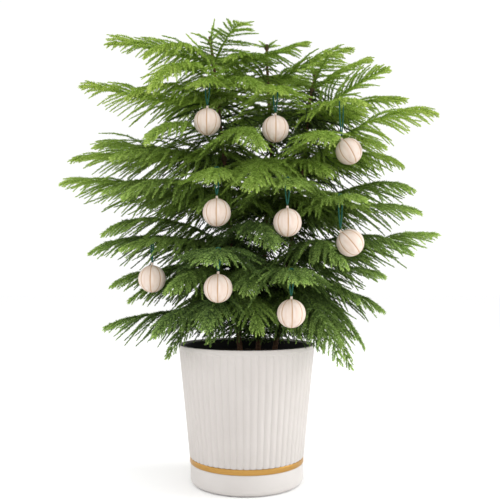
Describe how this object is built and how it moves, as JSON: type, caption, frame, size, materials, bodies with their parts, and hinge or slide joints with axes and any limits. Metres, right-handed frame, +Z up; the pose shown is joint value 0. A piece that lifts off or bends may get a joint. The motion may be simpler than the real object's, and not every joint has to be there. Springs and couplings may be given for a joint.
{
  "type": "potted conifer houseplant",
  "caption": "Bushy young conifer of several stems in a straight tapered fluted pot with a metal band, its level whorls of drooping fronds hung with grooved wooden balls.",
  "frame": {"origin": "middle of the underside of the base, on the surface the pot stands on", "axes": "+Z up along the pot's axis, -Y towards the side with the hung balls, +X to that side's right"},
  "size_m": [0.7321, 0.516, 0.8732],
  "materials": {
    "base_white": "matt off-white",
    "gold": "satin gold",
    "pot_white": "matt white, finely fluted",
    "black_liner": "matt black",
    "soil": "dark crumbly potting mix",
    "bark": "rough reddish brown bark",
    "ball_wood": "pale unvarnished wood, grooved",
    "foliage": "soft green needles"
  },
  "bodies": {
    "root": {"base": "base_white", "gold_band": "gold", "pot": "pot_white", "nursery_pot": "black_liner", "soil": "soil", "left_stem": "bark", "middle_stem": "bark", "right_stem": "bark", "ball_1": "ball_wood", "ball_2": "ball_wood", "ball_3": "ball_wood", "ball_4": "ball_wood", "ball_5": "ball_wood", "ball_6": "ball_wood", "ball_7": "ball_wood", "ball_8": "ball_wood", "ball_9": "ball_wood", "left_whorl_1": "foliage", "left_whorl_2": "foliage", "left_whorl_3": "foliage", "left_whorl_4": "foliage", "left_whorl_5": "foliage", "left_whorl_6": "foliage", "left_whorl_7": "foliage", "middle_whorl_1": "foliage", "middle_whorl_2": "foliage", "middle_whorl_3": "foliage", "middle_whorl_4": "foliage", "middle_whorl_5": "foliage", "middle_whorl_6": "foliage", "right_whorl_1": "foliage", "right_whorl_2": "foliage", "right_whorl_3": "foliage", "right_whorl_4": "foliage", "right_whorl_5": "foliage", "right_whorl_6": "foliage", "left_top": "foliage", "middle_top": "foliage", "right_top": "foliage"}
  },
  "joints": []
}
